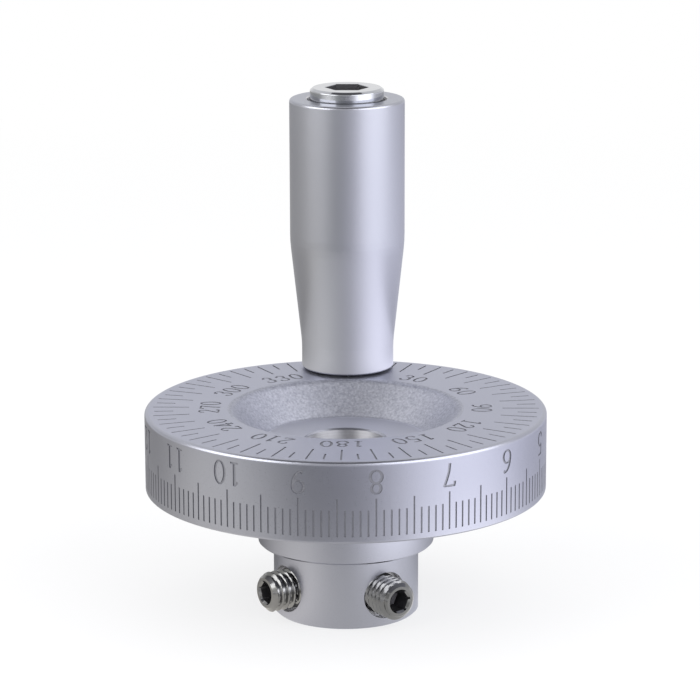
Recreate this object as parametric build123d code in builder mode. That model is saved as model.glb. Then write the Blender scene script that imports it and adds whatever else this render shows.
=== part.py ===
from build123d import *
from math import cos, radians, sin
import os

# A small graduated handwheel: a turned wheel with a dial face, a collar and a hub, a revolving handle
# near its rim, and two set screws in its hub. The origin lies on the bore's axis at the hub's end.
# +Z runs up the axis to the dial face, and the handle stands on the +Y side. Sizes are in millimetres.

# Disc, collar and hub
disc_diameter = 60.0
disc_thickness = 12.0
rim_top_round = 0.6
rim_bottom_round = 0.35
collar_diameter = 26.4
collar_height = 8.5
collar_edge_chamfer = 0.25
hub_diameter = 21.8
hub_length = 10.7
hub_end_chamfer = 0.35
bore_diameter = 12.0
bore_mouth_chamfer = 0.25

# Dish in the dial face: a cone with a rounded lip round a flat floor
dish_mouth_diameter = 34.3
dish_floor_diameter = 24.7
dish_depth = 4.8
dish_lip_round = 1.7
dish_floor_round = 0.7

# Handle grip: a cylinder that tapers to a slimmer foot, with a counterbore for the screw's head
handle_edge_distance = 5.15
grip_length = 42.3
grip_diameter = 17.8
grip_foot_diameter = 14.3
grip_foot_height = 4.0
grip_taper_height = 16.0
grip_knee_round = 21.4
grip_waist_round = 17.0
grip_top_round = 0.45
grip_foot_round = 0.35
counterbore_mouth_chamfer = 0.15

# Handle screw: head, hex socket, smooth shoulder and threaded end
head_diameter = 11.4
head_height = 5.7
head_proud = 1.7
head_bevel_width = 0.45
head_bevel_height = 0.35
socket_across_flats = 6.0
socket_depth = 4.2
shoulder_diameter = 8.0
handle_thread_diameter = 6.0
handle_thread_length = 9.0
handle_thread_chamfer = 0.7
undercut_depth = 0.5
undercut_length = 1.1
drill_overrun = 1.2

# Thrust washer under the grip's foot
washer_diameter = 10.0
washer_thickness = 0.3

# Set screws: socket screws with cup points in two tapped radial holes of the hub, relieved at their
# mouths. The stand-back is the distance of a screw's point from the bore's wall.
set_screw_diameter = 6.0
set_screw_length = 8.0
set_screw_height = 4.8
set_screw_chamfer = 0.75
set_screw_socket = 3.0
set_screw_socket_depth = 3.2
cup_diameter = 3.6
cup_depth = 0.9
relief_diameter = 7.1
relief_depth = 1.6
left_stand_back = 0.45
right_stand_back = 0.55

# Azimuth round the axis from -Y towards +X, stand-back, and the turn of the hex socket
set_screws = {
    "set_screw_left": (-56.0, left_stand_back, 19.0),
    "set_screw_right": (34.0, right_stand_back, 35.0),
}

# Clearances
shoulder_clearance = 0.05
thread_clearance = 0.05
set_screw_clearance = 0.08
washer_clearance = 0.1
head_clearance = 0.5
end_play = 0.05

# Heights above the hub's end, and the places that follow from the sizes above
handle_offset = disc_diameter / 2 - handle_edge_distance
disc_underside = hub_length + collar_height
face_height = disc_underside + disc_thickness
dish_floor_height = face_height - dish_depth
grip_base_height = face_height + washer_thickness + end_play
counterbore_diameter = head_diameter + 2 * head_clearance
counterbore_depth = head_height - head_proud + end_play
grip_bore_diameter = shoulder_diameter + 2 * shoulder_clearance
head_underside = grip_base_height + grip_length - counterbore_depth + end_play
head_top = head_underside + head_height
shoulder_length = head_underside - face_height

# Planes that hold the profiles to be turned
wheel_section = Plane.XZ
handle_section = Plane(origin=(0, handle_offset, 0), x_dir=(1, 0, 0), z_dir=(0, -1, 0))
handle_axis = Axis((0, handle_offset, 0), (0, 0, 1))


def corner(profile, across, up):
    """The corner of a profile that lies nearest to the given point of its plane."""
    return profile.vertices().sort_by_distance((across, up))[0]


def outwards(azimuth):
    """Horizontal direction out from the wheel's axis, turned from -Y towards +X by the azimuth."""
    return Vector(sin(radians(azimuth)), -cos(radians(azimuth)), 0)


def save(piece, name):
    """Label a finished piece and write it to its own file."""
    piece.part.label = name
    export_step(piece.part, f"parts/{name}.step")


os.makedirs("parts", exist_ok=True)


# Wheel
with BuildPart() as wheel:
    with BuildSketch(wheel_section) as wheel_profile:
        with BuildLine():
            Polyline(
                (bore_diameter / 2, 0),
                (hub_diameter / 2, 0),
                (hub_diameter / 2, hub_length),
                (collar_diameter / 2, hub_length),
                (collar_diameter / 2, disc_underside),
                (disc_diameter / 2, disc_underside),
                (disc_diameter / 2, face_height),
                (dish_mouth_diameter / 2, face_height),
                (dish_floor_diameter / 2, dish_floor_height),
                (bore_diameter / 2, dish_floor_height),
                close=True,
            )
        make_face()
        chamfer(corner(wheel_profile, bore_diameter / 2, 0), bore_mouth_chamfer)
        chamfer(corner(wheel_profile, hub_diameter / 2, 0), hub_end_chamfer)
        chamfer(corner(wheel_profile, collar_diameter / 2, hub_length), collar_edge_chamfer)
        fillet(corner(wheel_profile, disc_diameter / 2, disc_underside), rim_bottom_round)
        fillet(corner(wheel_profile, disc_diameter / 2, face_height), rim_top_round)
        fillet(corner(wheel_profile, dish_mouth_diameter / 2, face_height), dish_lip_round)
        fillet(corner(wheel_profile, dish_floor_diameter / 2, dish_floor_height), dish_floor_round)
        chamfer(corner(wheel_profile, bore_diameter / 2, dish_floor_height), bore_mouth_chamfer)
    revolve(axis=Axis.Z)

    # Tapped hole in the face for the handle screw
    with Locations((0, handle_offset, face_height)):
        Hole(handle_thread_diameter / 2 + thread_clearance, handle_thread_length + drill_overrun)

    # Tapped radial holes in the hub, from the bore outwards, each with a wider relief at its mouth
    for azimuth, stand_back, socket_turn in set_screws.values():
        with BuildSketch(Plane(origin=(0, 0, set_screw_height), z_dir=outwards(azimuth))):
            Circle(set_screw_diameter / 2 + set_screw_clearance)
        extrude(amount=hub_diameter, mode=Mode.SUBTRACT)
        mouth = outwards(azimuth) * (hub_diameter / 2) + Vector(0, 0, set_screw_height)
        with BuildSketch(Plane(origin=mouth, z_dir=outwards(azimuth))):
            Circle(relief_diameter / 2)
        extrude(amount=-relief_depth, mode=Mode.SUBTRACT)
save(wheel, "wheel")


# Thrust washer
with BuildPart() as thrust_washer:
    with BuildSketch(Plane.XY.offset(face_height)):
        with Locations((0, handle_offset)):
            Circle(washer_diameter / 2)
            Circle(shoulder_diameter / 2 + washer_clearance, mode=Mode.SUBTRACT)
    extrude(amount=washer_thickness)
save(thrust_washer, "thrust_washer")


# Handle grip
grip_top = grip_base_height + grip_length
waist_height = grip_base_height + grip_foot_height
knee_height = waist_height + grip_taper_height
counterbore_floor = grip_top - counterbore_depth
with BuildPart() as handle_grip:
    with BuildSketch(handle_section) as grip_profile:
        with BuildLine():
            Polyline(
                (grip_bore_diameter / 2, grip_base_height),
                (grip_foot_diameter / 2, grip_base_height),
                (grip_foot_diameter / 2, waist_height),
                (grip_diameter / 2, knee_height),
                (grip_diameter / 2, grip_top),
                (counterbore_diameter / 2, grip_top),
                (counterbore_diameter / 2, counterbore_floor),
                (grip_bore_diameter / 2, counterbore_floor),
                close=True,
            )
        make_face()
        fillet(corner(grip_profile, grip_foot_diameter / 2, grip_base_height), grip_foot_round)
        fillet(corner(grip_profile, grip_foot_diameter / 2, waist_height), grip_waist_round)
        fillet(corner(grip_profile, grip_diameter / 2, knee_height), grip_knee_round)
        fillet(corner(grip_profile, grip_diameter / 2, grip_top), grip_top_round)
        chamfer(corner(grip_profile, counterbore_diameter / 2, grip_top), counterbore_mouth_chamfer)
    revolve(axis=handle_axis)
save(handle_grip, "handle_grip")


# Handle screw
screw_tip = face_height - handle_thread_length
undercut_radius = handle_thread_diameter / 2 - undercut_depth
with BuildPart() as handle_screw:
    with BuildSketch(handle_section) as screw_profile:
        with BuildLine():
            Polyline(
                (0, screw_tip),
                (handle_thread_diameter / 2, screw_tip),
                (handle_thread_diameter / 2, face_height - undercut_length),
                (undercut_radius, face_height - undercut_length + undercut_depth),
                (undercut_radius, face_height),
                (shoulder_diameter / 2, face_height),
                (shoulder_diameter / 2, head_underside),
                (head_diameter / 2, head_underside),
                (head_diameter / 2, head_top - head_bevel_height),
                (head_diameter / 2 - head_bevel_width, head_top),
                (0, head_top),
                close=True,
            )
        make_face()
        chamfer(corner(screw_profile, handle_thread_diameter / 2, screw_tip), handle_thread_chamfer)
    revolve(axis=handle_axis)
    with BuildSketch(Plane.XY.offset(head_top)):
        with Locations((0, handle_offset)):
            RegularPolygon(socket_across_flats / 2, 6, major_radius=False)
    extrude(amount=-socket_depth, mode=Mode.SUBTRACT)
save(handle_screw, "handle_screw")


# Set screws
for name, (azimuth, stand_back, socket_turn) in set_screws.items():
    direction = outwards(azimuth)
    point = direction * (bore_diameter / 2 + stand_back) + Vector(0, 0, set_screw_height)
    outer_end = point + direction * set_screw_length
    radius = set_screw_diameter / 2
    cup_radius = cup_diameter / 2
    section = Plane(origin=point, x_dir=(0, 0, 1), z_dir=Vector(0, 0, 1).cross(direction))
    with BuildPart() as set_screw:
        with BuildSketch(section):
            with BuildLine():
                Polyline(
                    (0, cup_depth),
                    (cup_radius, 0),
                    (radius, radius - cup_radius),
                    (radius, set_screw_length - set_screw_chamfer),
                    (radius - set_screw_chamfer, set_screw_length),
                    (0, set_screw_length),
                    close=True,
                )
            make_face()
        revolve(axis=Axis(point, direction))
        with BuildSketch(Plane(origin=outer_end, x_dir=(0, 0, 1), z_dir=direction)):
            RegularPolygon(set_screw_socket / 2, 6, major_radius=False, rotation=socket_turn)
        extrude(amount=-set_screw_socket_depth, mode=Mode.SUBTRACT)
    save(set_screw, name)
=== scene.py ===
import math

import bmesh
import bpy
import numpy as np
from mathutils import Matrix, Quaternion, Vector
from mathutils.geometry import delaunay_2d_cdt


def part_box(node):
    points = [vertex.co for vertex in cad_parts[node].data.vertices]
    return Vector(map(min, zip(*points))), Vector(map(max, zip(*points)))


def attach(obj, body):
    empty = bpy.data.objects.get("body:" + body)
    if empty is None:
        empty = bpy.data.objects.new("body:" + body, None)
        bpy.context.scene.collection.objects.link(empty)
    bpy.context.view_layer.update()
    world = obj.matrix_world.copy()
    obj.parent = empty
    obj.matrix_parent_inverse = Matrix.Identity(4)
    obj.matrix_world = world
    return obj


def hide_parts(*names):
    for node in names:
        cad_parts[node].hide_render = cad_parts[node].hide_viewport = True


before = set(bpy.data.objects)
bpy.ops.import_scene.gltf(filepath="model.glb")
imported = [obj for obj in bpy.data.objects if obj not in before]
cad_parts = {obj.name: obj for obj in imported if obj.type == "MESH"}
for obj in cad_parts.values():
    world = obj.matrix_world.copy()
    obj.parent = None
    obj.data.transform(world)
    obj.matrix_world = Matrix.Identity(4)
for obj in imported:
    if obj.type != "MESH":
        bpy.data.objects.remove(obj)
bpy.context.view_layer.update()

# Sizes are in millimetres and become metres when a mesh is made. Angles round the wheel are dial angles:
# degrees clockwise as seen from above, with 0 at the handle (+Y) and 180 at the front (-Y).
MM = 0.001


def node_box(node):
    """Lowest and highest corner of a CAD node, in millimetres."""
    low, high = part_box(node)
    return np.array(low) / MM, np.array(high) / MM


# Sizes read from the frame
wheel_low, wheel_high = node_box("wheel")
grip_low, grip_high = node_box("handle_grip")
screw_low, screw_high = node_box("handle_screw")
washer_low, washer_high = node_box("thrust_washer")

DISC_R = (wheel_high[0] - wheel_low[0]) / 2
FACE = wheel_high[2]
HANDLE = (grip_low[1] + grip_high[1]) / 2
GRIP_R = (grip_high[0] - grip_low[0]) / 2
GRIP_BASE, GRIP_TOP = grip_low[2], grip_high[2]
HEAD_R = (screw_high[0] - screw_low[0]) / 2
HEAD_TOP, SCREW_TIP = screw_high[2], screw_low[2]
WASHER_R = (washer_high[0] - washer_low[0]) / 2

# Wheel: disc, collar, hub and dish. The bands are heights: the part of the dish's lip that has the face's
# finish, and the part of its wall that has the floor's.
DISC_THICKNESS = 12.0
RIM_TOP_ROUND = 0.6
RIM_BOTTOM_ROUND = 0.35
COLLAR_R = 13.2
COLLAR_HEIGHT = 8.5
COLLAR_CHAMFER = 0.25
HUB_R = 10.9
HUB_CHAMFER = 0.35
BORE_R = 6.0
BORE_CHAMFER = 0.25
DISH_MOUTH_R = 17.15
DISH_FLOOR_R = 12.35
DISH_DEPTH = 4.8
DISH_LIP_ROUND = 1.7
DISH_FLOOR_ROUND = 0.7
FACED_BAND, FLOOR_BAND = 0.04, 0.05
UNDERSIDE = FACE - DISC_THICKNESS
HUB_TOP = UNDERSIDE - COLLAR_HEIGHT
DISH_FLOOR = FACE - DISH_DEPTH
HANDLE_HOLE_R = 3.05
HANDLE_HOLE_DEPTH = 10.2

# Engraving: width and depth of the lines, steps of the rim's scale in divisions and of the dial's scale in
# degrees, and where the two scales lie
LINE_WIDTH = 0.26
LINE_DEPTH = 0.13
RIM_NUMBERS = 17
RIM_DIVISIONS = 10
RIM_LONG_STEP = 5
DIAL_STEP, DIAL_LONG_STEP, DIAL_LABEL_STEP = 5, 10, 30
SCALE_TURN = 0.5
RIM_ZERO = 1.1
RIM_DIGIT_TOP, RIM_DIGIT_BOTTOM = 4.8, 1.25
RIM_LONG_LINE, RIM_SHORT_LINE, RIM_LINE_END = 5.4, 7.1, 10.95
DIAL_LABEL_IN, DIAL_LABEL_OUT = 18.75, 21.85
DIAL_LONG_IN, DIAL_LONG_OUT = 23.4, 28.8
DIAL_SHORT_IN, DIAL_SHORT_OUT = 25.7, 28.5

# Digits, as parts of their height. A stroke swells from thin to thick with a power of its steepness, and its
# corners reach out by one over the mitre limit at most.
DIGIT_WIDTH = 0.58
DIGIT_PITCH = 0.74
DIGIT_THIN, DIGIT_THICK = 0.075, 0.125
DIGIT_SWELL = 1.5
DIGIT_DOT_R = 0.065
MITRE_LIMIT = 0.5

# Grip
GRIP_FOOT_R = 7.15
GRIP_FOOT_HEIGHT = 4.0
GRIP_TAPER_HEIGHT = 16.0
GRIP_KNEE_ROUND = 21.4
GRIP_WAIST_ROUND = 17.0
GRIP_TOP_ROUND = 0.45
GRIP_FOOT_ROUND = 0.35
GRIP_BORE_R = 4.05
COUNTERBORE_R = 6.2
COUNTERBORE_DEPTH = 4.05
COUNTERBORE_CHAMFER = 0.15

# Handle screw and washer. A break is the width of a lightly broken edge, a rim the flat ring round a hex
# socket, and a cone how far the drill went below a socket's floor.
HEAD_HEIGHT = 5.7
HEAD_BEVEL_WIDTH, HEAD_BEVEL_HEIGHT = 0.45, 0.35
HEAD_BEVEL_ROUND = 0.2
HEAD_HEX = 6.0
HEAD_HEX_TURN = 30.0
HEAD_HEX_RIM = 0.2
HEAD_HEX_BREAK = 0.07
HEAD_SOCKET_DEPTH = 4.2
HEAD_SOCKET_CONE = 0.6
SHOULDER_R = 4.0
SPINDLE_THREAD_R = 3.0
SPINDLE_PITCH = 1.0
SPINDLE_CHAMFER = 0.7
UNDERCUT_R = 2.5
UNDERCUT_LENGTH = 1.1
WASHER_BORE_R = 4.1
WASHER_BREAK = 0.06

# Set screws, each with its dial angle, the distance of its point from the bore's wall and the turn of its
# hex socket
SET_SCREW_R = 3.0
SET_SCREW_LENGTH = 8.0
SET_SCREW_HEIGHT = 4.8
SET_SCREW_CHAMFER = 0.75
SET_SCREW_PITCH = 1.0
SET_SCREW_HEX = 3.0
SET_SCREW_HEX_RIM = 0.1
SET_SCREW_MOUTH_DEPTH = 0.3
SET_SCREW_SOCKET_DEPTH = 3.2
SET_SCREW_SOCKET_CONE = 0.8
SET_SCREW_HOLE_R = 3.08
RELIEF_R = 3.55
RELIEF_DEPTH = 1.6
CUP_R = 1.8
CUP_DEPTH = 0.9
SET_SCREWS = {
    "set_screw_left": (236.0, 0.45, 49.0),
    "set_screw_right": (146.0, 0.55, 5.0),
}

# Threads: depth, flat crest and flat root, as parts of the pitch
THREAD_DEPTH, THREAD_CREST, THREAD_ROOT = 0.54, 0.125, 0.25

# Round surfaces: columns of the wheel, which all start between two engraved lines, of the small pieces and
# of the radial holes, rows of a thread to the pitch, and rows of a hole's wall as shares of its length
WHEEL_COLUMNS = 360
WHEEL_START = 17.0
GRIP_COLUMNS = 180
SCREW_COLUMNS = 96
HOLE_COLUMNS = 48
THREAD_ROWS = 12
HOLE_ROWS = (0, 0.05, 0.5, 0.95)
ARC_STEP = math.radians(7.5)

# Width of the strips that keep the shading of flat sides flat, distance within which corners merge, room
# for rounding errors, and the angle in degrees from which an edge is sharp
GUARD = 0.08
MERGE_DISTANCE = 0.0005
TINY = 1e-6
SHARP_ANGLE = 28


def rounded(corners):
    """Outline through corners given as (across, up) or (across, up, radius).

    A corner with a radius becomes an arc tangent to both of its sides: its centre lies on the bisector,
    at radius / sin(half the inside angle), and its points are the start arm turned about the centre.
    Each long side gets a point close to both ends, so that its shading stays flat up to the arc.
    """
    points = [np.array(corner[:2], float) for corner in corners]
    path = []
    for i, corner in enumerate(corners):
        here = points[i]
        radius = corner[2] if len(corner) > 2 else 0.0
        if not radius:
            path.append(here)
            continue
        back = points[i - 1] - here
        on = points[i + 1] - here
        back, on = back / np.linalg.norm(back), on / np.linalg.norm(on)
        half = math.acos(np.clip(back @ on, -1, 1)) / 2
        centre = here + (back + on) / np.linalg.norm(back + on) * radius / math.sin(half)
        arm = here + back * radius / math.tan(half) - centre
        turn = math.pi - 2 * half
        side = -math.copysign(1.0, back[0] * on[1] - back[1] * on[0])
        steps = max(2, math.ceil(turn / ARC_STEP))
        for angle in np.linspace(0, side * turn, steps + 1):
            c, s = math.cos(angle), math.sin(angle)
            path.append(centre + np.array([c * arm[0] - s * arm[1], s * arm[0] + c * arm[1]]))
    guarded = [path[0]]
    for a, b in zip(path, path[1:]):
        length = np.linalg.norm(b - a)
        if length > 4 * GUARD:
            step = (b - a) / length * GUARD
            guarded += [a + step, b - step]
        guarded.append(b)
    return np.array(guarded)


def around(degrees, radius):
    """Points of a circle round the wheel's axis at dial angles, as separate x and y arrays."""
    angle = np.radians(degrees)
    return radius * np.sin(angle), radius * np.cos(angle)


def grid_faces(rows, columns):
    """Quads of a grid of rows by columns of points, whose last column joins its first."""
    i, j = np.meshgrid(np.arange(rows - 1), np.arange(columns), indexing="ij")
    k = (j + 1) % columns
    quads = np.stack([i * columns + j, i * columns + k, (i + 1) * columns + k, (i + 1) * columns + j], -1)
    return quads.reshape(-1, 4)


def turned(outline, columns, start=0.0, centre=(0.0, 0.0), slot=0):
    """Surface of revolution: each outline point (radius, height) runs round a vertical axis.

    A point is (cx + r sin a, cy + r cos a, z), with the angle a along the columns.
    """
    angles = start + np.arange(columns) * 360 / columns
    x, y = around(angles[None, :], outline[:, :1])
    z = np.repeat(outline[:, 1:], columns, axis=1)
    points = np.stack([x + centre[0], y + centre[1], z], -1).reshape(-1, 3)
    return points, grid_faces(len(outline), columns), slot


def solid(name, patches, materials):
    """One closed mesh from patches of (points, faces, material slot) that meet edge to edge.

    Corners that coincide are merged, what no face uses is removed and the faces are turned outwards.
    """
    mesh = bpy.data.meshes.new(name)
    points, faces, slots, base = [], [], [], 0
    for patch_points, patch_faces, slot in patches:
        points.append(patch_points)
        faces += (patch_faces + base).tolist()
        slots += [slot] * len(patch_faces)
        base += len(patch_points)
    mesh.from_pydata((np.concatenate(points) * MM).tolist(), [], faces)
    mesh.polygons.foreach_set("material_index", slots)
    work = bmesh.new()
    work.from_mesh(mesh)
    bmesh.ops.remove_doubles(work, verts=work.verts, dist=MERGE_DISTANCE * MM)
    bmesh.ops.delete(work, geom=[v for v in work.verts if not v.link_faces], context="VERTS")
    bmesh.ops.recalc_face_normals(work, faces=work.faces)
    work.to_mesh(mesh)
    work.free()
    mesh.shade_smooth()
    mesh.set_sharp_from_angle(angle=math.radians(SHARP_ANGLE))
    for material in materials:
        mesh.materials.append(material)
    piece = bpy.data.objects.new(name, mesh)
    bpy.context.scene.collection.objects.link(piece)
    return piece


# Digits: centre lines in a cell one high, drawn from arcs and straight strokes
def bow(cx, cy, rx, ry, start, end, steps):
    """Elliptic arc round (cx, cy) from one angle to another in degrees, clockwise when the end is smaller."""
    angle = np.radians(np.linspace(start, end, steps + 1))
    return np.stack([cx + rx * np.cos(angle), cy + ry * np.sin(angle)], -1)


def line(*points):
    """Straight strokes from point to point."""
    return np.array(points, float)


def turned_over(strokes):
    """The same strokes turned half round in their cell."""
    return [np.array([DIGIT_WIDTH, 1.0]) - stroke for stroke in strokes]


def dot(x, y):
    """Ball at the end of a stroke: a disc of ten sides."""
    return bow(x, y, DIGIT_DOT_R, DIGIT_DOT_R, 0, 360, 10)[:-1]


SIX = [bow(0.29, 0.29, 0.23, 0.26, 90, 450, 24), bow(0.47, 0.30, 0.41, 0.65, 180, 92, 10)]
STROKES = {
    "0": [bow(0.29, 0.5, 0.24, 0.47, 90, 450, 28)],
    "1": [line((0.31, 0.0), (0.31, 0.98)), line((0.14, 0.82), (0.31, 0.96)),
          line((0.13, 0.025), (0.49, 0.025))],
    "2": [np.vstack([bow(0.28, 0.74, 0.21, 0.23, 165, -30, 12), line((0.06, 0.04))]),
          line((0.05, 0.035), (0.52, 0.035), (0.55, 0.17))],
    "3": [bow(0.27, 0.76, 0.19, 0.21, 160, -85, 14), bow(0.27, 0.29, 0.23, 0.26, 88, -160, 16)],
    "4": [line((0.39, 0.98), (0.04, 0.28), (0.56, 0.28)), line((0.39, 0.98), (0.39, 0.0)),
          line((0.26, 0.025), (0.52, 0.025))],
    "5": [line((0.14, 0.94), (0.50, 0.96)), line((0.14, 0.96), (0.11, 0.52)),
          bow(0.27, 0.31, 0.24, 0.28, 132, -155, 18)],
    "6": SIX,
    "7": [line((0.04, 0.76), (0.07, 0.93), (0.54, 0.93)),
          line((0.54, 0.95), (0.42, 0.66), (0.32, 0.34), (0.28, 0.0))],
    "8": [bow(0.29, 0.75, 0.19, 0.21, 90, 450, 22), bow(0.29, 0.27, 0.24, 0.26, 90, 450, 24)],
    "9": turned_over(SIX),
}
DOTS = {
    "2": [dot(0.10, 0.77)],
    "3": [dot(0.11, 0.80), dot(0.08, 0.20)],
    "5": [dot(0.08, 0.19)],
    "6": [dot(0.45, 0.90)],
    "9": turned_over([dot(0.45, 0.90)]),
}


def ribbon(stroke):
    """A stroke's centre line widened into quads, thick where it runs up or down and thin where it runs across.

    The half width lies along the mean normal of the two runs at each point, lengthened at a corner
    by one over the cosine of half its turn.
    """
    run = np.diff(stroke, axis=0)
    run /= np.linalg.norm(run, axis=1)[:, None]
    closed = np.allclose(stroke[0], stroke[-1])
    before = np.vstack([run[-1:] if closed else run[:1], run])
    after = np.vstack([run, run[:1] if closed else run[-1:]])
    mean = before + after
    mean /= np.linalg.norm(mean, axis=1)[:, None]
    spread = np.clip((mean * after).sum(1), MITRE_LIMIT, 1)
    width = DIGIT_THIN + (DIGIT_THICK - DIGIT_THIN) * np.abs(mean[:, 1]) ** DIGIT_SWELL
    arm = np.stack([-mean[:, 1], mean[:, 0]], -1) * (width / 2 / spread)[:, None]
    left, right = stroke + arm, stroke - arm
    return [np.array([right[i], right[i + 1], left[i + 1], left[i]]) for i in range(len(run))]


def digits(text, height):
    """Outlines of a number, centred on x = 0 with its feet at y = 0."""
    start = -((len(text) - 1) * DIGIT_PITCH + DIGIT_WIDTH) / 2
    outlines = []
    for place, character in enumerate(text):
        shift = np.array([start + place * DIGIT_PITCH, 0])
        for stroke in STROKES[character]:
            outlines += [(quad + shift) * height for quad in ribbon(stroke)]
        outlines += [(ball + shift) * height for ball in DOTS.get(character, [])]
    return outlines


def bar(low, high):
    """Outline of an engraved line: a rectangle of the line's width from one height to another."""
    half = LINE_WIDTH / 2
    return np.array([(-half, low), (half, low), (half, high), (-half, high)])


def dial_marks():
    """Outlines on the face, in the plane of the face: a line each 5 degrees and a number each 30 degrees.

    The line at 0 is left out: it would cross the handle's tapped hole, under the grip's foot.
    """
    outlines = []
    for degrees in range(0, 360, DIAL_STEP):
        local = []
        if degrees % DIAL_LONG_STEP == 0 and degrees:
            local.append(bar(DIAL_LONG_IN, DIAL_LONG_OUT))
        elif degrees:
            local.append(bar(DIAL_SHORT_IN, DIAL_SHORT_OUT))
        if degrees % DIAL_LABEL_STEP == 0:
            label = digits(str(degrees), DIAL_LABEL_OUT - DIAL_LABEL_IN)
            local += [outline + np.array([0, DIAL_LABEL_IN]) for outline in label]
        angle = math.radians(degrees + SCALE_TURN)
        out = np.array([math.sin(angle), math.cos(angle)])
        across = np.array([math.cos(angle), -math.sin(angle)])
        outlines += [outline[:, :1] * across + outline[:, 1:] * out for outline in local]
    return outlines


def rim_marks():
    """Outlines on the unrolled rim, as (arc length from the first column, depth below the face).

    The numbers stand with their heads towards the hub and rise clockwise.
    """
    outlines = []
    step = 360 / RIM_NUMBERS / RIM_DIVISIONS
    for mark in range(RIM_NUMBERS * RIM_DIVISIONS):
        along = math.radians((RIM_ZERO + SCALE_TURN + mark * step - WHEEL_START) % 360) * DISC_R
        local = [bar(RIM_SHORT_LINE if mark % RIM_LONG_STEP else RIM_LONG_LINE, RIM_LINE_END)]
        if mark % RIM_DIVISIONS == 0:
            label = digits(str(mark // RIM_DIVISIONS), RIM_DIGIT_TOP - RIM_DIGIT_BOTTOM)
            local += [outline + np.array([0, RIM_DIGIT_BOTTOM]) for outline in label]
        outlines += [outline + np.array([along, 0]) for outline in local]
    return outlines


def cut_sheet(points, edges, faces, marks, voids, lift, slot, mark_slot):
    """A flat sheet, triangulated so that every outline is an edge of it, with marks sunk in and voids cut out.

    All outlines run anticlockwise. lift(points, depth) places points of the sheet that far below the real
    surface. The triangles inside a mark go to the full depth, and a wall joins each of their outer edges
    to the surface.
    """
    corners = np.concatenate([points] + marks + voids)
    loops, base = [list(face) for face in faces], len(points)
    for outline in marks + voids:
        loops.append(list(range(base, base + len(outline))))
        base += len(outline)
    first_mark, first_void = len(faces), len(faces) + len(marks)
    inside_only, nearest = 1, 1e-4
    flat, _, triangles, _, _, owners = delaunay_2d_cdt(
        [Vector(corner) for corner in corners.tolist()], edges, loops, inside_only, nearest, True)
    flat = np.array([corner[:] for corner in flat], float)
    triangles = np.array(triangles)
    void = np.array([any(owner >= first_void for owner in own) for own in owners])
    marked = np.array([any(first_mark <= owner < first_void for owner in own) for own in owners]) & ~void
    top, bottom, count = lift(flat, 0.0), lift(flat, LINE_DEPTH), len(flat)
    sunk = triangles[marked]
    run = np.concatenate([sunk[:, [0, 1]], sunk[:, [1, 2]], sunk[:, [2, 0]]])
    inner = np.isin(run[:, 0] * count + run[:, 1], run[:, 1] * count + run[:, 0])
    run = run[~inner]
    walls = np.stack([run[:, 0], run[:, 1], run[:, 1] + count, run[:, 0] + count], -1)
    both = np.concatenate([top, bottom])
    patches = [(both, triangles[~marked & ~void], slot)]
    if len(sunk):
        patches += [(both, sunk + count, mark_slot), (both, walls, mark_slot)]
    return patches


def face_sheet(inner, outer, slot, mark_slot):
    """The flat dial ring between two radii, with its scale engraved and the handle's tapped hole cut out."""
    angles = WHEEL_START + np.arange(WHEEL_COLUMNS) * 360 / WHEEL_COLUMNS
    radii = (outer, outer - GUARD, inner + GUARD, inner)
    rings = [np.stack(around(angles, radius), -1) for radius in radii]
    column = np.arange(WHEEL_COLUMNS)
    after = (column + 1) % WHEEL_COLUMNS
    edges = []
    for ring in (1, 2):
        edges += (np.stack([column, after], -1) + ring * WHEEL_COLUMNS).tolist()
    hole = bow(0, HANDLE, HANDLE_HOLE_R, HANDLE_HOLE_R, 0, 360, SCREW_COLUMNS)[:-1]

    def lift(points, depth):
        return np.column_stack([points, np.full(len(points), FACE - depth)])

    loops = [column[::-1].tolist()]
    voids = [hole, rings[3][::-1]]
    return cut_sheet(np.concatenate(rings), edges, loops, dial_marks(), voids, lift, slot, mark_slot)


def strip(arc, low, high, clear=slice(None)):
    """Points, edges and outline of an unrolled cylinder: four levels, the middle two a guard's width inside.

    An edge crosses the strip at each column, but between the middle levels only where it is clear of holes.
    """
    columns, count = np.arange(len(arc)), len(arc)
    levels = (low, low + GUARD, high - GUARD, high)
    points = np.concatenate([np.column_stack([arc, np.full(count, level)]) for level in levels])
    edges = []
    for level in range(3):
        kept = columns[clear] if level == 1 else columns
        edges += np.stack([kept + level * count, kept + (level + 1) * count], -1).tolist()
    for level in (1, 2):
        edges += (np.stack([columns[:-1], columns[1:]], -1) + level * count).tolist()
    outline = columns.tolist() + (columns[::-1] + 3 * count).tolist()
    return points, edges, [outline]


def rim_sheet(slot, mark_slot):
    """The rim's cylinder, unrolled, with its scale engraved: along it runs the arc, across it the depth."""
    arc = np.radians(np.arange(WHEEL_COLUMNS + 1) * 360 / WHEEL_COLUMNS) * DISC_R
    points, edges, loops = strip(arc, RIM_TOP_ROUND, DISC_THICKNESS - RIM_BOTTOM_ROUND)

    def lift(points, depth):
        x, y = around(WHEEL_START + np.degrees(points[:, 0] / DISC_R), DISC_R - depth)
        return np.column_stack([x, y, FACE - points[:, 1]])

    return cut_sheet(points, edges, loops, rim_marks(), [], lift, slot, mark_slot)


def hole_circle(hole_radius):
    """Points round a radial hole of the hub: steps to the side, a cos t, and heights, a sin t up."""
    turn = np.linspace(0, 2 * math.pi, HOLE_COLUMNS, endpoint=False)
    return hole_radius * np.cos(turn), SET_SCREW_HEIGHT + hole_radius * np.sin(turn)


def hole_edge(direction, hole_radius, radius):
    """Where a radial hole meets a cylinder: a step s to the side is a dial angle of asin(s / r)."""
    side, height = hole_circle(hole_radius)
    return direction + np.degrees(np.arcsin(side / radius)), height


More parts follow.
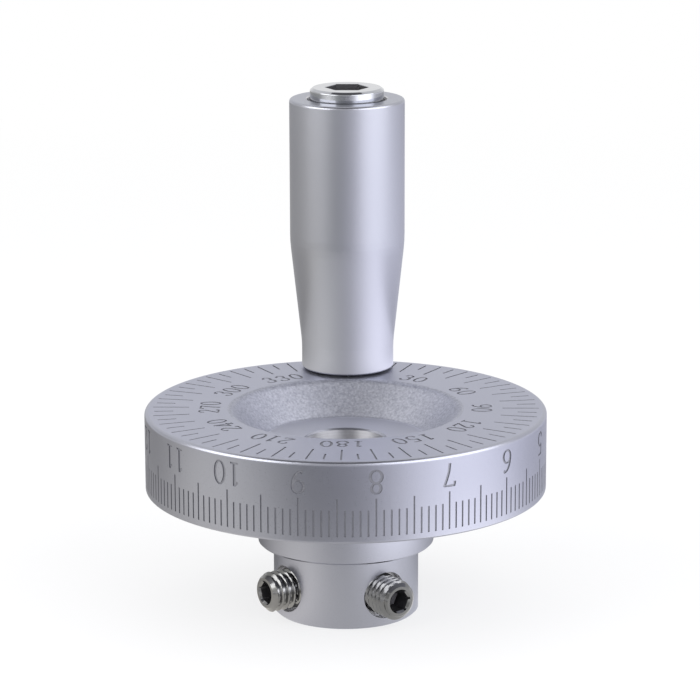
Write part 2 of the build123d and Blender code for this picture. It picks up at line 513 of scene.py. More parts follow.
def drilled_sheet(radius, hole_radius, low, high, slot):
    """A cylinder of the hub or the bore, unrolled, with both radial holes cut out of it."""
    degrees = np.arange(WHEEL_COLUMNS + 1) * 360 / WHEEL_COLUMNS
    clear = np.ones(len(degrees), bool)
    voids = []
    for direction, _, _ in SET_SCREWS.values():
        hole_degrees, height = hole_edge(direction, hole_radius, radius)
        from_start = hole_degrees - WHEEL_START
        voids.append(np.column_stack([np.radians(from_start) * radius, height]))
        clear &= (degrees < from_start.min()) | (degrees > from_start.max())
    points, edges, loops = strip(np.radians(degrees) * radius, low, high, clear)

    def lift(points, depth):
        x, y = around(WHEEL_START + np.degrees(points[:, 0] / radius), radius)
        return np.column_stack([x, y, points[:, 1]])

    return cut_sheet(points, edges, loops, [], voids, lift, slot, slot)


def hole_wall(direction, slot):
    """Wall of a radial hole, from its edge in the bore over its relief's flat floor to its edge on the hub.

    Between two of these four loops the wall is made of straight lines.
    """
    floor = HUB_R - RELIEF_DEPTH
    angle = math.radians(direction)
    loops = []
    for hole_radius, radius, flat in ((SET_SCREW_HOLE_R, BORE_R, False), (SET_SCREW_HOLE_R, floor, True),
                                      (RELIEF_R, floor, True), (RELIEF_R, HUB_R, False)):
        if flat:
            side, height = hole_circle(hole_radius)
            x = floor * math.sin(angle) + side * math.cos(angle)
            y = floor * math.cos(angle) - side * math.sin(angle)
        else:
            degrees, height = hole_edge(direction, hole_radius, radius)
            x, y = around(degrees, radius)
        loops.append(np.column_stack([x, y, height]))
    rows = []
    for near, far in zip(loops, loops[1:]):
        rows += [near + (far - near) * share for share in HOLE_ROWS]
    rows.append(loops[-1])
    return np.concatenate(rows), grid_faces(len(rows), HOLE_COLUMNS), slot


def build_wheel(satin, grained, bored, engraved, faced, lit_dish_floor):
    """The turned wheel: engraved rim and face, rounded edges, dish, collar, hub, bore and tapped holes."""
    in_satin, in_grained, in_bored, in_engraved, in_faced, in_lit_dish_floor = range(6)
    dish = rounded([(BORE_R + BORE_CHAMFER, DISH_FLOOR), (DISH_FLOOR_R, DISH_FLOOR, DISH_FLOOR_ROUND),
                    (DISH_MOUTH_R, FACE, DISH_LIP_ROUND), (DISC_R, FACE)])
    lip_start = dish[np.isclose(dish[:, 1], FACE)][0, 0]
    dish = dish[dish[:, 0] <= lip_start + TINY]
    lip_foot = np.argmax(dish[:, 1] > FACE - FACED_BAND)
    wall_foot = np.argmax(dish[:, 1] > DISH_FLOOR + FLOOR_BAND)
    floor, bowl, lip_round = dish[:wall_foot + 1], dish[wall_foot:lip_foot + 1], dish[lip_foot:]
    edge_top = rounded([(0, FACE), (DISC_R, FACE, RIM_TOP_ROUND), (DISC_R, UNDERSIDE)])
    arc_start = np.array([DISC_R, FACE]) - RIM_TOP_ROUND - TINY
    edge_top = edge_top[(edge_top >= arc_start).all(axis=1)]
    under = rounded([(DISC_R, FACE), (DISC_R, UNDERSIDE, RIM_BOTTOM_ROUND), (COLLAR_R, UNDERSIDE),
                     (COLLAR_R, HUB_TOP + COLLAR_CHAMFER), (COLLAR_R - COLLAR_CHAMFER, HUB_TOP),
                     (HUB_R, HUB_TOP)])
    under = under[under[:, 1] <= UNDERSIDE + RIM_BOTTOM_ROUND + TINY]
    hub_end = rounded([(HUB_R, HUB_CHAMFER), (HUB_R - HUB_CHAMFER, 0), (BORE_R + BORE_CHAMFER, 0),
                       (BORE_R, BORE_CHAMFER)])
    mouth = rounded([(BORE_R, DISH_FLOOR - BORE_CHAMFER), (BORE_R + BORE_CHAMFER, DISH_FLOOR)])
    pit_floor = FACE - HANDLE_HOLE_DEPTH
    pit = rounded([(HANDLE_HOLE_R, FACE), (HANDLE_HOLE_R, pit_floor), (0, pit_floor)])
    # The dish's floor takes the lighter aluminium, painted light for the bottom of the dish
    outlines = ((floor, in_lit_dish_floor), (bowl, in_grained), (lip_round, in_faced), (edge_top, in_satin),
                (under, in_satin), (hub_end, in_satin), (mouth, in_satin))
    patches = [turned(outline, WHEEL_COLUMNS, WHEEL_START, slot=slot) for outline, slot in outlines]
    patches.append(turned(pit, SCREW_COLUMNS, 90.0, (0.0, HANDLE), slot=in_bored))
    patches += face_sheet(lip_start, DISC_R - RIM_TOP_ROUND, in_faced, in_engraved)
    patches += rim_sheet(in_satin, in_engraved)
    patches += drilled_sheet(HUB_R, RELIEF_R, HUB_CHAMFER, HUB_TOP, in_satin)
    patches += drilled_sheet(BORE_R, SET_SCREW_HOLE_R, BORE_CHAMFER, DISH_FLOOR - BORE_CHAMFER, in_bored)
    patches += [hole_wall(direction, in_bored) for direction, _, _ in SET_SCREWS.values()]
    return solid("wheel_turned", patches, [satin, grained, bored, engraved, faced, lit_dish_floor])


def build_grip(satin, bored):
    """The grip: an outline from its foot over the taper and the top edge down into the counterbore."""
    waist = GRIP_BASE + GRIP_FOOT_HEIGHT
    knee = waist + GRIP_TAPER_HEIGHT
    mouth = COUNTERBORE_R + COUNTERBORE_CHAMFER
    ledge = GRIP_TOP - COUNTERBORE_DEPTH
    outside = rounded([(GRIP_BORE_R, GRIP_BASE), (GRIP_FOOT_R, GRIP_BASE, GRIP_FOOT_ROUND),
                       (GRIP_FOOT_R, waist, GRIP_WAIST_ROUND), (GRIP_R, knee, GRIP_KNEE_ROUND),
                       (GRIP_R, GRIP_TOP, GRIP_TOP_ROUND), (mouth, GRIP_TOP)])
    inside = rounded([(mouth, GRIP_TOP), (COUNTERBORE_R, GRIP_TOP - COUNTERBORE_CHAMFER),
                      (COUNTERBORE_R, ledge), (GRIP_BORE_R, ledge), (GRIP_BORE_R, GRIP_BASE)])
    patches = [turned(outside, GRIP_COLUMNS, centre=(0, HANDLE)),
               turned(inside, GRIP_COLUMNS, centre=(0, HANDLE), slot=1)]
    return solid("grip_turned", patches, [satin, bored])


def threaded(angle, along, outer, pitch):
    """Radius of a V thread: it falls from a flat crest to a flat root and back once a pitch.

    The crest climbs by one pitch a turn.
    """
    phase = np.mod(along / pitch - np.radians(angle) / (2 * math.pi), 1)
    from_crest = np.abs(2 * phase - 1)
    flank = 1 - THREAD_CREST - THREAD_ROOT
    return outer - THREAD_DEPTH * pitch * np.clip((from_crest - THREAD_CREST) / flank, 0, 1)


def hexagon(angle, across_flats, turn):
    """Distance from a hexagon's centre to its side, along each angle."""
    return across_flats / 2 / np.cos(np.radians(np.mod(angle - turn, 60) - 30))


def swept(loops, angle, origin, axis, first, second, slot):
    """Surface through loops round an axis, each given as (radii, places along the axis) at the same angles a.

    A point is origin + axis p + first r cos a + second r sin a.
    """
    a = np.radians(angle)
    radius = np.array([np.broadcast_to(radii, len(a)) for radii, _ in loops])
    place = np.array([np.broadcast_to(places, len(a)) for _, places in loops])
    near, far = (radius * np.cos(a))[..., None], (radius * np.sin(a))[..., None]
    points = origin + axis * place[..., None] + first * near + second * far
    return points.reshape(-1, 3), grid_faces(len(loops), len(a)), slot


def build_set_screw(name, direction, stand_back, turn, steel, socket, dark):
    """Socket set screw: along its axis the radius is the thread's, cut off by the cup point and a chamfer."""
    in_steel, in_socket, in_painted_shade = range(3)
    angle = turn + np.arange(SCREW_COLUMNS) * 360 / SCREW_COLUMNS
    along = np.arange(0, SET_SCREW_LENGTH + TINY, SET_SCREW_PITCH / THREAD_ROWS)
    grid_angle, grid_along = np.meshgrid(angle, along)
    body = threaded(grid_angle, grid_along, SET_SCREW_R, SET_SCREW_PITCH)
    body = np.minimum(body, CUP_R + grid_along)
    body = np.minimum(body, SET_SCREW_R - SET_SCREW_CHAMFER + SET_SCREW_LENGTH - grid_along)
    hexagon_row = hexagon(angle, SET_SCREW_HEX, turn)
    ring = hexagon_row.max() + SET_SCREW_HEX_RIM
    mouth = SET_SCREW_LENGTH - SET_SCREW_MOUTH_DEPTH
    depth = SET_SCREW_LENGTH - SET_SCREW_SOCKET_DEPTH
    cup = [(0, CUP_DEPTH), (CUP_R, 0)]
    end = [(body[-1], SET_SCREW_LENGTH), (ring, SET_SCREW_LENGTH), (hexagon_row, mouth)]
    wall = [(hexagon_row, mouth), (hexagon_row, depth)]
    # The socket's floor takes the nearly black steel: painted shade
    floor = [(hexagon_row, depth), (0, depth - SET_SCREW_SOCKET_CONE)]
    out = np.array([math.sin(math.radians(direction)), math.cos(math.radians(direction)), 0])
    side, up = np.array([-out[1], out[0], 0]), np.array([0, 0, 1])
    point = out * (BORE_R + stand_back) + up * SET_SCREW_HEIGHT
    surfaces = ((cup, in_steel), (list(zip(body, grid_along)), in_steel), (end, in_steel),
                (wall, in_socket), (floor, in_painted_shade))
    patches = [swept(loops, angle, point, out, side, up, slot) for loops, slot in surfaces]
    return solid(name + "_threaded", patches, [steel, socket, dark])


def build_handle_screw(chrome, steel, socket, dark):
    """Shoulder screw: threaded end, undercut, shoulder, bevelled head and hex socket in one turned surface."""
    in_chrome, in_steel, in_socket, in_painted_shade = range(4)
    angle = np.arange(SCREW_COLUMNS) * 360 / SCREW_COLUMNS
    along = np.arange(SCREW_TIP, FACE - UNDERCUT_LENGTH + TINY, SPINDLE_PITCH / THREAD_ROWS)
    grid_angle, grid_along = np.meshgrid(angle, along)
    thread = threaded(grid_angle, grid_along, SPINDLE_THREAD_R, SPINDLE_PITCH)
    thread = np.minimum(thread, SPINDLE_THREAD_R - SPINDLE_CHAMFER + grid_along - SCREW_TIP)
    thread[-1] = UNDERCUT_R
    under_head = HEAD_TOP - HEAD_HEIGHT
    shank = rounded([(UNDERCUT_R, along[-1]), (UNDERCUT_R, FACE), (SHOULDER_R, FACE), (SHOULDER_R, under_head),
                     (HEAD_R, under_head)])
    head = rounded([(HEAD_R, under_head), (HEAD_R, HEAD_TOP - HEAD_BEVEL_HEIGHT, HEAD_BEVEL_ROUND),
                    (HEAD_R - HEAD_BEVEL_WIDTH, HEAD_TOP, HEAD_BEVEL_ROUND), (HEAD_HEX / 2, HEAD_TOP)])
    rim = HEAD_HEX / 2 / math.cos(math.radians(30)) + HEAD_HEX_RIM
    head = np.vstack([head[head[:, 0] > rim + GUARD], [(rim, HEAD_TOP)]])
    hexagon_row = hexagon(angle, HEAD_HEX, HEAD_HEX_TURN)
    edge, floor = HEAD_TOP - HEAD_HEX_BREAK, HEAD_TOP - HEAD_SOCKET_DEPTH
    tip = [(0, SCREW_TIP), (thread[0], SCREW_TIP)]
    mouth = [(rim, HEAD_TOP), (hexagon_row + HEAD_HEX_BREAK, HEAD_TOP), (hexagon_row, edge)]
    wall = [(hexagon_row, edge), (hexagon_row, floor)]
    # The socket's floor takes the nearly black steel: painted shade
    well = [(hexagon_row, floor), (0, floor - HEAD_SOCKET_CONE)]
    surfaces = ((tip, in_steel), (list(zip(thread, grid_along)), in_steel), (shank, in_steel),
                (head, in_chrome), (mouth, in_chrome), (wall, in_socket), (well, in_painted_shade))
    along_x, along_y, along_z = np.identity(3)
    patches = [swept(loops, angle, along_y * HANDLE, along_z, along_y, along_x, slot)
               for loops, slot in surfaces]
    return solid("shoulder_screw", patches, [chrome, steel, socket, dark])


def build_washer(steel):
    """The thrust washer: a flat ring with slightly broken edges."""
    low, high = washer_low[2], washer_high[2]
    inner, outer = WASHER_BORE_R + WASHER_BREAK, WASHER_R - WASHER_BREAK
    ring = [(WASHER_BORE_R, low + WASHER_BREAK), (inner, low), (outer, low), (WASHER_R, low + WASHER_BREAK),
            (WASHER_R, high - WASHER_BREAK), (outer, high), (inner, high), (WASHER_BORE_R, high - WASHER_BREAK)]
    outline = np.array(ring + ring[:1])
    return solid("washer_ring", [turned(outline, SCREW_COLUMNS, centre=(0, HANDLE))], [steel])


# Materials: noise in cells per metre, and depths in metres. Noise rarely leaves the range given here.
NOISE_LOW, NOISE_HIGH = 0.3, 0.7
OXIDE_TINT = (0.84, 0.85, 0.88, 1)
STEEL_PATCHES = 220
BORE_RINGS, BORE_RING_STRETCH, BORE_RING_DEPTH = 400, (0.05, 0.05, 12), 0.000004
ETCHED_DARK, ETCHED_LIGHT = (0.235, 0.238, 0.27), (0.30, 0.303, 0.335)
ETCHED_SPECKS, ETCHED_DEPTH = 5000, 0.00002


def feed(tree, node, inputs):
    """Each input of a node, by name or number, is linked to another node's output or set to a value."""
    for name, value in inputs.items():
        if isinstance(value, bpy.types.NodeSocket):
            tree.links.new(value, node.inputs[name])
        else:
            node.inputs[name].default_value = value


def add(tree, kind, inputs, **settings):
    """New node with its settings and inputs."""
    node = tree.nodes.new("ShaderNode" + kind)
    for name, value in settings.items():
        setattr(node, name, value)
    feed(tree, node, inputs)
    return node


def new_material(name):
    """Material with its node tree, its shader and the piece's own coordinates."""
    material = bpy.data.materials.new(name)
    material.use_nodes = True
    tree = material.node_tree
    return material, tree, tree.nodes["Principled BSDF"], add(tree, "TexCoord", {}).outputs["Object"]


def noise(tree, vector, scale, detail, stretch=None):
    """Noise on the piece's own coordinates, stretched along the axes if asked."""
    if stretch:
        vector = add(tree, "Mapping", {"Vector": vector, "Scale": stretch}).outputs["Vector"]
    return add(tree, "TexNoise", {"Vector": vector, "Scale": scale, "Detail": detail}).outputs["Fac"]


def ranged(tree, value, low, high, start=NOISE_LOW, end=NOISE_HIGH):
    """A value carried from one range, at first a noise's, to another."""
    inputs = {"Value": value, "From Min": start, "From Max": end, "To Min": low, "To Max": high}
    return add(tree, "MapRange", inputs).outputs["Result"]


def tinted(tree, value, dark, light):
    """Colour that drifts between two tones with a value."""
    ramp = add(tree, "ValToRGB", {"Fac": value})
    for element, position, tone in zip(ramp.color_ramp.elements, (NOISE_LOW, NOISE_HIGH), (dark, light)):
        element.position = position
        element.color = (*tone, 1)
    return ramp.outputs["Color"]


def bumped(tree, value, distance):
    """Normals of a surface whose height follows a value."""
    return add(tree, "Bump", {"Distance": distance, "Height": value}).outputs["Normal"]


def anodised(name, dark, light, rough_low, rough_high, tone_scale, grain, depth):
    """Satin anodised aluminium: a drift of tone, and a fine blasted grain in roughness and height.

    Its oxide dims what it shows at a flat angle, which the specular tint stands for.
    """
    material, tree, shader, place = new_material(name)
    fine = noise(tree, place, grain, 3)
    feed(tree, shader, {
        "Metallic": 1.0,
        "Specular Tint": OXIDE_TINT,
        "Base Color": tinted(tree, noise(tree, place, tone_scale, 2), dark, light),
        "Roughness": ranged(tree, fine, rough_low, rough_high),
        "Normal": bumped(tree, fine, depth),
    })
    return material


def bright_steel(name, dark, light, rough_low, rough_high, grain, depth):
    """Bright machined or plated steel with faint variation in tone and roughness."""
    material, tree, shader, place = new_material(name)
    fine = noise(tree, place, grain, 2)
    feed(tree, shader, {
        "Metallic": 1.0,
        "Base Color": tinted(tree, noise(tree, place, STEEL_PATCHES, 3), dark, light),
        "Roughness": ranged(tree, fine, rough_low, rough_high),
        "Normal": bumped(tree, fine, depth),
    })
    return material


def turned_bore(name, dark, light, roughness):
    """Bored aluminium: its tool marks run round the axis, so its sheen spreads along the axis."""
    material, tree, shader, place = new_material(name)
    rings = noise(tree, place, BORE_RINGS, 3, BORE_RING_STRETCH)
    tangent = add(tree, "Tangent", {}, direction_type="RADIAL", axis="Z")
    feed(tree, shader, {
        "Metallic": 1.0,
        "Base Color": tinted(tree, rings, dark, light),
        "Roughness": roughness,
        "Anisotropic": 0.9,
        "Anisotropic Rotation": 0.25,
        "Tangent": tangent.outputs["Tangent"],
        "Normal": bumped(tree, rings, BORE_RING_DEPTH),
    })
    return material


def etched(name):
    """Floor and walls of the engraving: darker metal, uneven as a laser or an etching bath leaves it."""
    material, tree, shader, place = new_material(name)
    speck = noise(tree, place, ETCHED_SPECKS, 3)
    feed(tree, shader, {
        "Metallic": 0.9,
        "Base Color": tinted(tree, speck, ETCHED_DARK, ETCHED_LIGHT),
        "Roughness": 0.55,
        "Normal": bumped(tree, speck, ETCHED_DEPTH),
    })
    return material


# Dark and light tone, lowest and highest roughness, scale of the tone's drift, and the grain's scale and depth
SATIN = anodised("satin_aluminium", (0.40, 0.408, 0.468), (0.42, 0.428, 0.488),
                 0.27, 0.33, 60, 9000, 0.0000015)
FACED = anodised("faced_aluminium", (0.452, 0.46, 0.535), (0.472, 0.48, 0.555),
                 0.42, 0.50, 60, 7000, 0.000003)
# Dish floor: its rougher finish is the metal's own, and its lighter tone is painted light that makes up for the
# shade in the dish
LIGHTENED_DISH_FLOOR = anodised("dish_floor_aluminium_painted_light", (0.55, 0.558, 0.624), (0.59, 0.598, 0.664),
                  0.50, 0.58, 60, 5000, 0.000003)
GRAINED = anodised("grained_aluminium", (0.37, 0.378, 0.437), (0.54, 0.548, 0.607),
                   0.46, 0.62, 2600, 3600, 0.00003)
GRIP_SATIN = anodised("grip_aluminium", (0.405, 0.412, 0.46), (0.42, 0.427, 0.475),
                      0.28, 0.33, 60, 9000, 0.0000012)
BORED = turned_bore("bored_aluminium", (0.66, 0.66, 0.69), (0.74, 0.74, 0.77), 0.45)

# The same for steel, which has no drift
CHROME = bright_steel("head_chrome", (0.44, 0.45, 0.48), (0.50, 0.51, 0.54), 0.05, 0.10, 3000, 0.0000008)
STEEL = bright_steel("screw_steel", (0.20, 0.20, 0.202), (0.29, 0.29, 0.292), 0.12, 0.22, 4000, 0.000002)
SOCKET = bright_steel("socket_steel", (0.17, 0.168, 0.18), (0.26, 0.258, 0.27), 0.38, 0.5, 4000, 0.000003)
# Socket floors: nearly black steel, painted shade for the bottom of the hex sockets, far darker than the steel
# round them
SOCKET_FLOOR_SHADE = bright_steel("socket_floor_painted_shade", (0.05, 0.048, 0.055), (0.09, 0.088, 0.095),
                            0.4, 0.5, 4000, 0.000002)
WASHER = bright_steel("washer_steel", (0.22, 0.22, 0.22), (0.28, 0.28, 0.28), 0.3, 0.4, 4000, 0.000002)
ETCHED = etched("etched_lines")


# The camera looks at the dial face's centre from the photograph's distance and height. The photograph is
# taken as 700 pixels wide, with the focal length below in those pixels.
IMAGE_PIXELS = 700
FOCAL_PIXELS = 3140
DISTANCE = 15.63 * DISC_R
ELEVATION = 14.82
AZIMUTH = 0.82
ROLL = 0.15
FACE_CENTRE_PIXEL = (345.4, 407.6)
SENSOR_WIDTH = 36


def make_camera():
    """Camera on a sphere round the face's centre, turned so that this point falls on its pixel."""
    turn, rise = math.radians(AZIMUTH), math.radians(ELEVATION)
    back = Vector((math.sin(turn) * math.cos(rise), -math.cos(turn) * math.cos(rise), math.sin(rise)))
    across = Vector((math.cos(turn), math.sin(turn), 0))
    up = back.cross(across)
    data = bpy.data.cameras.new("camera")
    data.sensor_width = SENSOR_WIDTH
    data.lens = SENSOR_WIDTH * FOCAL_PIXELS / IMAGE_PIXELS
    data.clip_start, data.clip_end = 0.01, 20
    camera = bpy.data.objects.new("camera", data)
    camera.location = Vector((0, 0, FACE * MM)) + back * DISTANCE * MM
    right = (FACE_CENTRE_PIXEL[0] - IMAGE_PIXELS / 2) / FOCAL_PIXELS
    down = (FACE_CENTRE_PIXEL[1] - IMAGE_PIXELS / 2) / FOCAL_PIXELS
    forward = -back - across * right + up * down
    roll = Quaternion((0, 0, 1), -math.radians(ROLL))
    camera.rotation_euler = (forward.to_track_quat("-Z", "Y") @ roll).to_euler()
    bpy.context.scene.collection.objects.link(camera)
    bpy.context.scene.camera = camera


# The studio is in metres, but for the bounce card, which belongs to the dial.
FLOOR_HALF = 4.0
FLOOR_FADE_START, FLOOR_FADE_END = 0.10, 0.45
CARD_COLUMNS = 64
CARD_STRENGTH = 4
CARD_HEIGHT = 0.0005
BOUNCE_R = 42.0
BOUNCE_INNER_R, BOUNCE_LEAST_R = 7.7, 7.8
BOUNCE_LIFT = 0.12


def soft_box(name, azimuth, height, distance, width, tall, luminance, colour, aim_height):
    """Rectangular lamp at an angle round the wheel from the front, facing a height on its axis.

    A lamp of radiance L and area A gives a power of pi times L times A.
    """
    data = bpy.data.lights.new(name, "AREA")
    data.shape = "RECTANGLE"
    data.size, data.size_y = width, tall
    data.energy, data.color = math.pi * luminance * width * tall, colour
    lamp = bpy.data.objects.new(name, data)
    angle = math.radians(azimuth)
    lamp.location = (distance * math.sin(angle), -distance * math.cos(angle), height)
    aim = Vector((0, 0, aim_height)) - lamp.location
    lamp.rotation_euler = aim.to_track_quat("-Z", "Y").to_euler()
    bpy.context.scene.collection.objects.link(lamp)


def background_share(tree):
    """1 for camera, glossy and transmission rays, which see the white background, and 0 for the rest."""
    rays = add(tree, "LightPath", {}).outputs
    seen = add(tree, "Math", {0: rays["Is Camera Ray"], 1: rays["Is Glossy Ray"]}, operation="MAXIMUM")
    clear = add(tree, "Math", {0: seen.outputs[0], 1: rays["Is Transmission Ray"]}, operation="MAXIMUM")
    return clear.outputs[0]


def mixed(tree, share, first, second):
    """Shader that goes from the first to the second with a share."""
    return add(tree, "MixShader", {0: share, 1: first, 2: second}).outputs[0]


def show(tree, shader):
    """The material's surface is this shader."""
    feed(tree, tree.nodes["Material Output"], {"Surface": shader})


def make_world():
    """White where the camera, metal and glass look, and slightly softer for the light it gives."""
    world = bpy.data.worlds.new("studio")
    world.use_nodes = True
    tree = world.node_tree
    tree.nodes.clear()
    white = add(tree, "Background", {"Color": (1, 1, 1, 1)}).outputs[0]
    light = add(tree, "Background", {"Color": (0.98, 0.985, 1, 1), "Strength": 0.85}).outputs[0]
    add(tree, "OutputWorld", {"Surface": mixed(tree, background_share(tree), light, white)})
    bpy.context.scene.world = world


def staged(name, corners, faces, material):
    """Part of the studio that isn't part of the object."""
    mesh = bpy.data.meshes.new(name)
    mesh.from_pydata(corners, [], faces)
    mesh.materials.append(material)
    piece = bpy.data.objects.new(name, mesh)
    bpy.context.scene.collection.objects.link(piece)
    return piece


def show_to_reflections_only(piece):
    """The camera, diffuse light and shadows pass over the piece."""
    piece.visible_camera = False
    piece.visible_diffuse = False
    piece.visible_shadow = False


def make_floor():
    """White floor under the hub: it shares its light between a white background and what falls on it.

    Rays that see the background get more of it the further they meet the floor from the hub.
    """
    material, tree, shader, place = new_material("pale_floor")
    feed(tree, shader, {"Base Color": (0.92, 0.92, 0.93, 1), "Roughness": 0.9, "Specular IOR Level": 0.0})
    glow = add(tree, "Emission", {"Color": (1, 1, 1, 1)})
    distance = add(tree, "VectorMath", {0: place}, operation="LENGTH").outputs["Value"]
    fade = ranged(tree, distance, 0.7, 1.0, FLOOR_FADE_START, FLOOR_FADE_END)
    share = add(tree, "Math", {0: background_share(tree), 1: fade}, operation="MULTIPLY").outputs[0]
    show(tree, mixed(tree, share, shader.outputs[0], glow.outputs[0]))
    corners = [(x * FLOOR_HALF, y * FLOOR_HALF, 0) for x, y in ((-1, -1), (1, -1), (1, 1), (-1, 1))]
    staged("floor", corners, [(0, 1, 2, 3)], material)


def make_card(name, inner, outer, tones, low=CARD_HEIGHT, high=CARD_HEIGHT):
    """Glowing ring round the wheel, on the table or standing, which only metal sees: it paints reflections onto
    the metal.

    Its tone follows the angle from the front, atan2(x, -y), through (angle, red, green, blue) stops.
    """
    material, tree, _, place = new_material(name + "_painted_reflection")
    parts = add(tree, "SeparateXYZ", {0: place}).outputs
    front = add(tree, "Math", {0: parts["Y"], 1: -1}, operation="MULTIPLY").outputs[0]
    angle = add(tree, "Math", {0: parts["X"], 1: front}, operation="ARCTAN2").outputs[0]
    ramp = add(tree, "ValToRGB", {"Fac": ranged(tree, angle, 0, 1, -math.pi, math.pi)})
    ramp.color_ramp.interpolation = "B_SPLINE"
    elements = ramp.color_ramp.elements
    while len(elements) < len(tones):
        elements.new(0.5)
    for element, (degrees, *colour) in zip(elements, tones):
        element.position = (degrees + 180) / 360
        element.color = (*(channel / CARD_STRENGTH for channel in colour), 1)
    show(tree, add(tree, "Emission", {"Color": ramp.outputs["Color"], "Strength": CARD_STRENGTH}).outputs[0])
    x, y = around(np.arange(CARD_COLUMNS) * 360 / CARD_COLUMNS, 1.0)
    corners = np.concatenate([np.column_stack([radius * x, radius * y, np.full(CARD_COLUMNS, height)])
                              for radius, height in ((outer, high), (inner, low))])
    card = staged(name, corners.tolist(), grid_faces(2, CARD_COLUMNS).tolist(), material)
    show_to_reflections_only(card)
    return card


def make_bounce_card(name, tones):
    """Glowing card just above the dial round the handle, seen from above only, by the metal of the grip: it
    paints a brighter reflection of the dial on the grip.

    It reaches from the grip's foot to a circle round the dial, r = h cos(t) + sqrt(R^2 - h^2 sin^2(t)) away
    at the angle t from the front, where R is that circle's radius and h the distance from its centre to the
    handle's axis.
    """
    height = (FACE + BOUNCE_LIFT) * MM
    card = make_card(name, BOUNCE_INNER_R * MM, BOUNCE_INNER_R * MM, tones, height, height)
    angle = np.radians(np.arange(CARD_COLUMNS) * 360 / CARD_COLUMNS)
    reach = -HANDLE * np.cos(angle) + np.sqrt(BOUNCE_R ** 2 - (HANDLE * np.sin(angle)) ** 2)
    reach = np.maximum(reach, BOUNCE_LEAST_R) * MM
    corners = np.array([vertex.co for vertex in card.data.vertices])
    corners[:CARD_COLUMNS, 0] = reach * np.sin(angle)
    corners[:CARD_COLUMNS, 1] = reach * np.cos(angle)
    card.data.vertices.foreach_set("co", corners.ravel())
    card.location = (0, HANDLE * MM, 0)
    tree = card.data.materials[0].node_tree
    from_below = add(tree, "NewGeometry", {}).outputs["Backfacing"]
    clear = add(tree, "BsdfTransparent", {}).outputs[0]
    glow = next(node for node in tree.nodes if node.type == "EMISSION")
    show(tree, mixed(tree, from_below, clear, glow.outputs[0]))


def make_flag(name, left, right, front, back, height, grey):
    """Level grey board overhead, glowing dimly, that only the reflections show: it paints the dark reflection
    that a photographer's flag gives.
    """
    material, tree, _, _ = new_material(name + "_painted_dark_reflection")
    show(tree, add(tree, "Emission", {"Color": (grey, grey, grey * 1.05, 1)}).outputs[0])
    corners = [(left, front, height), (right, front, height), (right, back, height), (left, back, height)]
    show_to_reflections_only(staged(name, corners, [(0, 1, 2, 3)], material))


# Tones of the glowing cards, which paint the reflections that the metal shows: angle from the front in degrees,
# then red, green and blue
HUB_TONES = [(-180, 0.26, 0.26, 0.25), (-126, 0.26, 0.26, 0.25), (-95, 0.66, 0.64, 0.61),
             (-57, 1.18, 1.14, 1.06), (-32, 0.86, 0.84, 0.80), (0, 0.68, 0.68, 0.66), (30, 0.76, 0.75, 0.74),
             (62, 1.05, 1.05, 1.05), (105, 0.96, 0.96, 0.98), (140, 0.50, 0.50, 0.51), (180, 0.26, 0.26, 0.27)]
COLLAR_TONES = [(-180, 0.5, 0.49, 0.47), (-130, 0.5, 0.49, 0.47), (-95, 0.72, 0.70, 0.64),
                (-47, 1.02, 1.00, 0.93), (-20, 0.68, 0.67, 0.66), (4, 0.60, 0.60, 0.60),
                (24, 1.16, 1.16, 1.19), (46, 2.0, 2.0, 2.06), (76, 2.12, 2.12, 2.2), (108, 0.80, 0.80, 0.85),
                (180, 0.5, 0.5, 0.52)]
RIM_TONES = [(-180, 0.50, 0.49, 0.47), (-134, 0.42, 0.41, 0.39), (-103, 0.50, 0.485, 0.455),
             (-80, 1.08, 1.06, 0.98), (-52, 0.82, 0.81, 0.77), (-30, 0.29, 0.285, 0.29),
             (-16, 0.07, 0.07, 0.08), (8, 0.05, 0.05, 0.07), (19, 0.30, 0.30, 0.34), (36, 1.02, 1.02, 1.11),
             (54, 1.63, 1.63, 1.80), (82, 1.46, 1.46, 1.63), (105, 0.78, 0.78, 0.88), (130, 0.75, 0.75, 0.84),
             (180, 0.50, 0.50, 0.52)]
GRIP_TONES = [(-180, 0.7, 0.69, 0.66), (-134, 0.50, 0.49, 0.46), (-78, 0.68, 0.67, 0.63),
              (-54, 0.54, 0.54, 0.52), (-24, 0.35, 0.365, 0.375), (-6, 0.52, 0.53, 0.58),
              (14, 0.86, 0.86, 0.94), (32, 1.22, 1.22, 1.35), (56, 1.72, 1.75, 1.92), (74, 1.55, 1.57, 1.72),
              (92, 1.38, 1.40, 1.56), (129, 1.05, 1.05, 1.18), (180, 0.7, 0.7, 0.74)]
HEAD_TONES = [(-180, 0.45, 0.45, 0.45), (-112, 0.42, 0.43, 0.43), (-92, 0.46, 0.47, 0.47),
              (-77, 1.2, 1.2, 1.2), (-60, 1.5, 1.5, 1.5), (-46, 1.15, 1.15, 1.15), (-30, 0.45, 0.47, 0.47),
              (-12, 0.26, 0.26, 0.27), (10, 0.25, 0.25, 0.27), (24, 0.9, 0.9, 0.94), (36, 2.4, 2.4, 2.5),
              (60, 2.9, 2.9, 3.0), (84, 2.6, 2.6, 2.7), (98, 0.7, 0.7, 0.73), (125, 0.55, 0.55, 0.58),
              (180, 0.45, 0.45, 0.45)]
FRONT_TONES = [(-180, 1.0, 1.0, 1.0), (-150, 1.0, 1.0, 1.0), (-120, 0.6, 0.6, 0.58), (-98, 0.65, 0.64, 0.62),
               (-70, 1.3, 1.28, 1.22), (-40, 1.0, 0.99, 0.95), (-16, 0.42, 0.42, 0.41), (12, 0.48, 0.48, 0.50),
               (40, 0.95, 0.95, 1.0), (72, 1.3, 1.3, 1.37), (98, 1.0, 1.0, 1.05), (120, 0.65, 0.65, 0.68),
               (150, 1.0, 1.0, 1.0), (180, 1.0, 1.0, 1.0)]
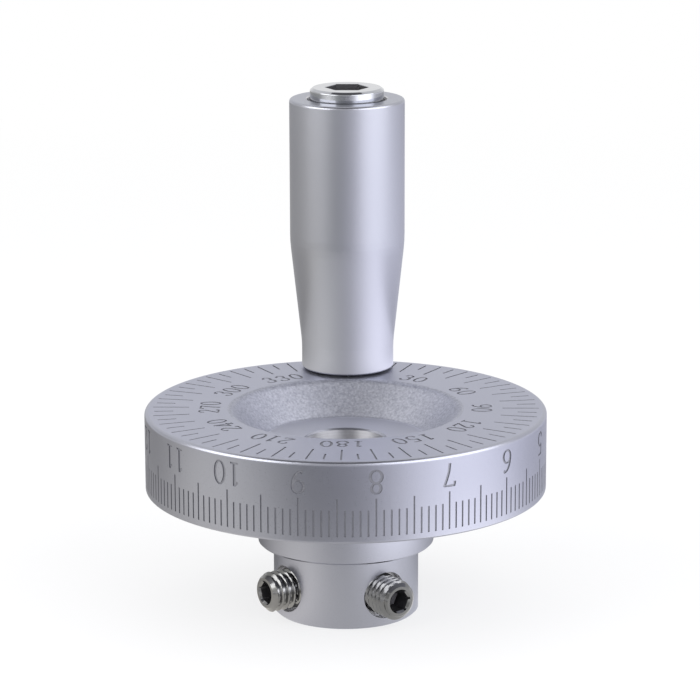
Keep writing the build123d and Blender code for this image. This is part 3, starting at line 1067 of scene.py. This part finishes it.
BOUNCE_TONES = [(-180, 0.5, 0.5, 0.48), (-125, 0.55, 0.54, 0.51), (-104, 0.76, 0.75, 0.71),
                (-80, 0.88, 0.87, 0.83), (-58, 1.02, 1.01, 0.97), (-40, 0.92, 0.92, 0.89),
                (-20, 0.74, 0.74, 0.74), (-2, 0.68, 0.68, 0.71), (14, 0.86, 0.86, 0.92),
                (32, 1.24, 1.24, 1.35), (50, 1.66, 1.66, 1.82), (72, 1.86, 1.86, 2.04), (95, 1.58, 1.58, 1.75),
                (125, 1.2, 1.2, 1.33), (180, 0.8, 0.8, 0.85)]

# Studio: glowing cards that paint reflections, by their inner and outer radius, and some by the heights of
# those edges
make_camera()
make_world()
make_floor()
# The contact card paints a darker reflection of the floor just round the hub's foot: painted contact shade
make_card("contact_card", 0.01062, 0.0150, HUB_TONES, 0.00005, 0.00005)
make_card("hub_card", 0.0112, 0.048, HUB_TONES)
make_card("collar_card", 0.048, 0.092, COLLAR_TONES)
make_card("rim_card", 0.092, 0.150, RIM_TONES)
make_card("grip_card", 0.150, 0.430, GRIP_TONES)
make_card("head_card", 0.430, 0.500, HEAD_TONES)
make_card("outer_card", 0.500, 0.700, GRIP_TONES)
make_card("front_card", 0.66, 0.66, FRONT_TONES, 0.09, 0.42)
make_bounce_card("bounce_card", BOUNCE_TONES)
make_flag("ceiling_flag", -0.45, 0.32, -0.62, 0.16, 0.60, 0.15)
soft_box("left_soft_box", -64, 0.28, 0.50, 0.58, 0.46, 2.1, (1.0, 1.0, 1.0), 0.05)
soft_box("right_soft_box", 58, 0.29, 0.50, 0.82, 0.52, 1.9, (0.95, 0.96, 1.0), 0.05)

# Pieces
wheel = build_wheel(SATIN, GRAINED, BORED, ETCHED, FACED, LIGHTENED_DISH_FLOOR)
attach(wheel, "wheel")
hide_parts("wheel")

washer = build_washer(WASHER)
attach(washer, "wheel")
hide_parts("thrust_washer")

spindle = build_handle_screw(CHROME, STEEL, SOCKET, SOCKET_FLOOR_SHADE)
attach(spindle, "wheel")
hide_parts("handle_screw")

grip = build_grip(GRIP_SATIN, BORED)
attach(grip, "handle")
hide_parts("handle_grip")

for node, body in (("set_screw_left", "left_screw"), ("set_screw_right", "right_screw")):
    direction, stand_back, turn = SET_SCREWS[node]
    set_screw = build_set_screw(node, direction, stand_back, turn, STEEL, SOCKET, SOCKET_FLOOR_SHADE)
    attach(set_screw, body)
    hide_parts(node)

bpy.context.scene.view_settings.view_transform = "Standard"
